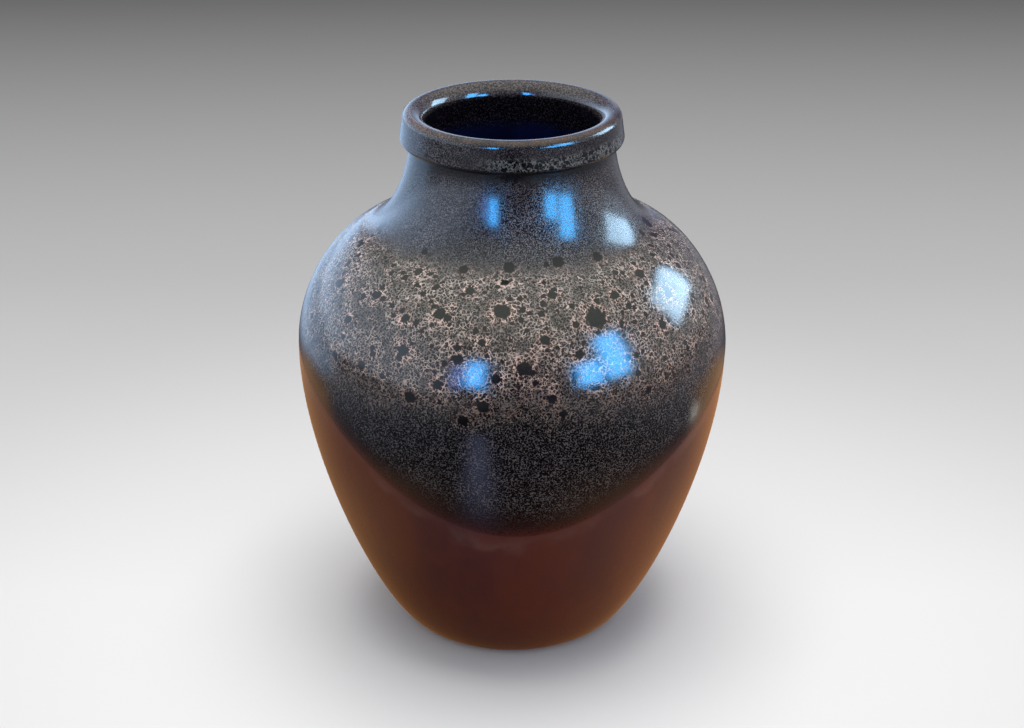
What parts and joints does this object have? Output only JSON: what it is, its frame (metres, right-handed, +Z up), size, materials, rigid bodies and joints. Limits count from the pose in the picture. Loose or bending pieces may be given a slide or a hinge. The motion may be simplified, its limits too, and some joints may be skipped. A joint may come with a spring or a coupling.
{
  "type": "pottery vase",
  "caption": "Jar-shaped stoneware vase with a narrow foot, a wide belly, a short neck and a thick rolled collar around an open mouth, dark spotted glaze over bare brown clay",
  "frame": {"origin": "centre of the foot ring's ground face, on the vase's turning axis", "axes": "+Z up along the turning axis, -Y towards the front, where the glaze line dips lowest, +X to the right"},
  "size_m": [0.2378, 0.238, 0.3],
  "materials": {
    "bare_clay": "matte",
    "clay_body": "matte",
    "liner_glaze": "gloss",
    "iron_slip": "satin",
    "spotted_glaze": "gloss"
  },
  "bodies": {
    "root": {"foot_ring": "bare_clay", "base_section": "bare_clay", "shoulder_section": "clay_body", "neck": "clay_body", "rim_collar": "clay_body", "inner_glaze": "liner_glaze", "iron_slip": "iron_slip", "outer_glaze": "spotted_glaze"}
  },
  "joints": []
}
